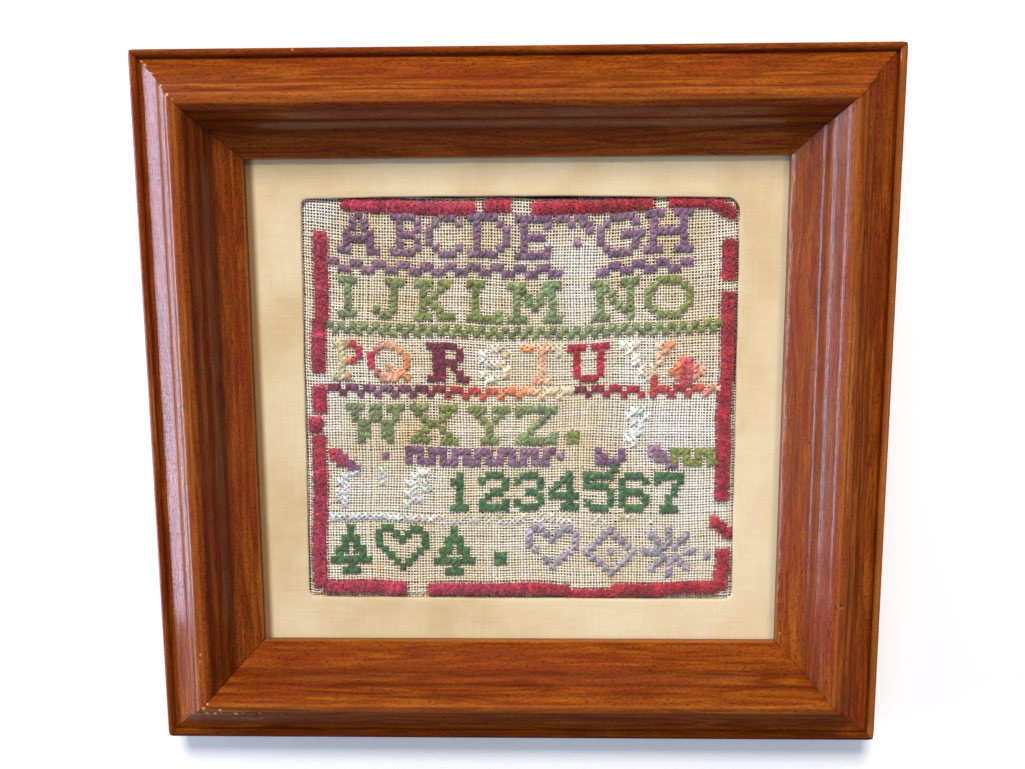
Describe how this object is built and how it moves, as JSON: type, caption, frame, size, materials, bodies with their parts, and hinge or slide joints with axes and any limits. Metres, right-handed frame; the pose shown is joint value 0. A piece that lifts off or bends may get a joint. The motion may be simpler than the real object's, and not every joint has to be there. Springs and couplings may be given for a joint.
{
  "type": "framed cross stitch sampler with its mitred wooden picture frame",
  "caption": "Square-ish mitred mahogany picture frame with a cloth-covered mount, holding a stretched evenweave canvas worked in wool cross stitch.",
  "frame": {"origin": "middle of the frame's back face, where it lies on the surface", "axes": "+X the picture's right, +Y the picture's top, +Z out of the stitched face"},
  "size_m": [0.32, 0.303, 0.0339],
  "materials": {
    "mahogany": "French-polished reddish mahogany, worn at the edges",
    "mount_cloth": "fine ribbed cream cotton over board, matt",
    "canvas": "open double-thread cotton canvas with wool cross stitches, matt",
    "wool_stitches": "worn two-ply wool in crimson, purple, greens and a shaded red to tan, matt",
    "board": "plain brown paper-faced board, matt"
  },
  "bodies": {
    "root": {"rail_bottom": "mahogany", "rail_right": "mahogany", "rail_top": "mahogany", "rail_left": "mahogany", "mount_board": "mount_cloth", "sampler_cloth": "canvas", "backboard": "board"}
  },
  "joints": []
}
